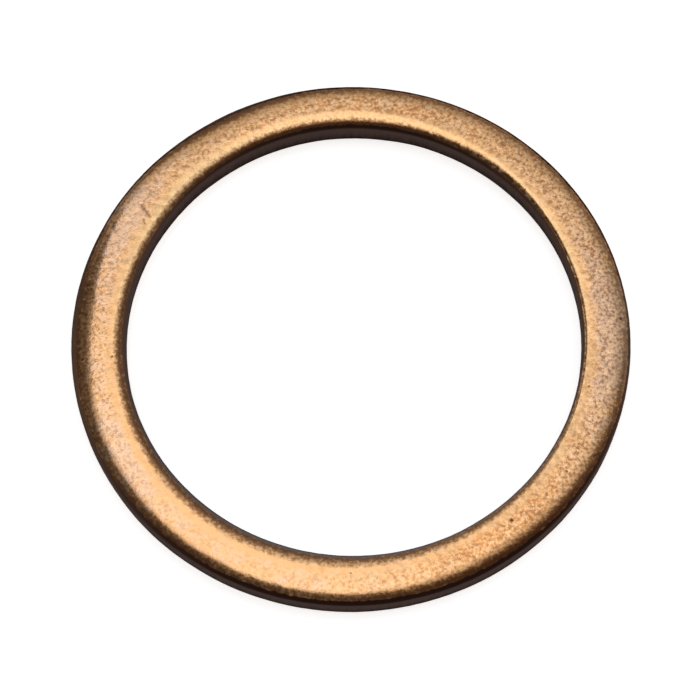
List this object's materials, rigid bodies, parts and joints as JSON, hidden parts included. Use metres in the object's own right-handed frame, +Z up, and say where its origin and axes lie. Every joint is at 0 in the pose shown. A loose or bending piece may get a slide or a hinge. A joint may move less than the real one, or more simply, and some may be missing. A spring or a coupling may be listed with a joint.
{
  "type": "copper crush washer",
  "caption": "Flat ring of soft copper with rolled-over edges and a plain round bore, squeezed between a plug's flange and a housing to seal a threaded port.",
  "frame": {"origin": "centre of the rim on the lower sealing face", "axes": "+Z up along the rim and bore axes, from the lower to the upper sealing face; +X towards the side where the ring is narrowest"},
  "size_m": [0.027, 0.027, 0.0015],
  "materials": {
    "copper": "satin tumbled copper, bright on the sealing faces and browned on the edges and walls"
  },
  "bodies": {
    "root": {"washer": "copper"}
  },
  "joints": []
}
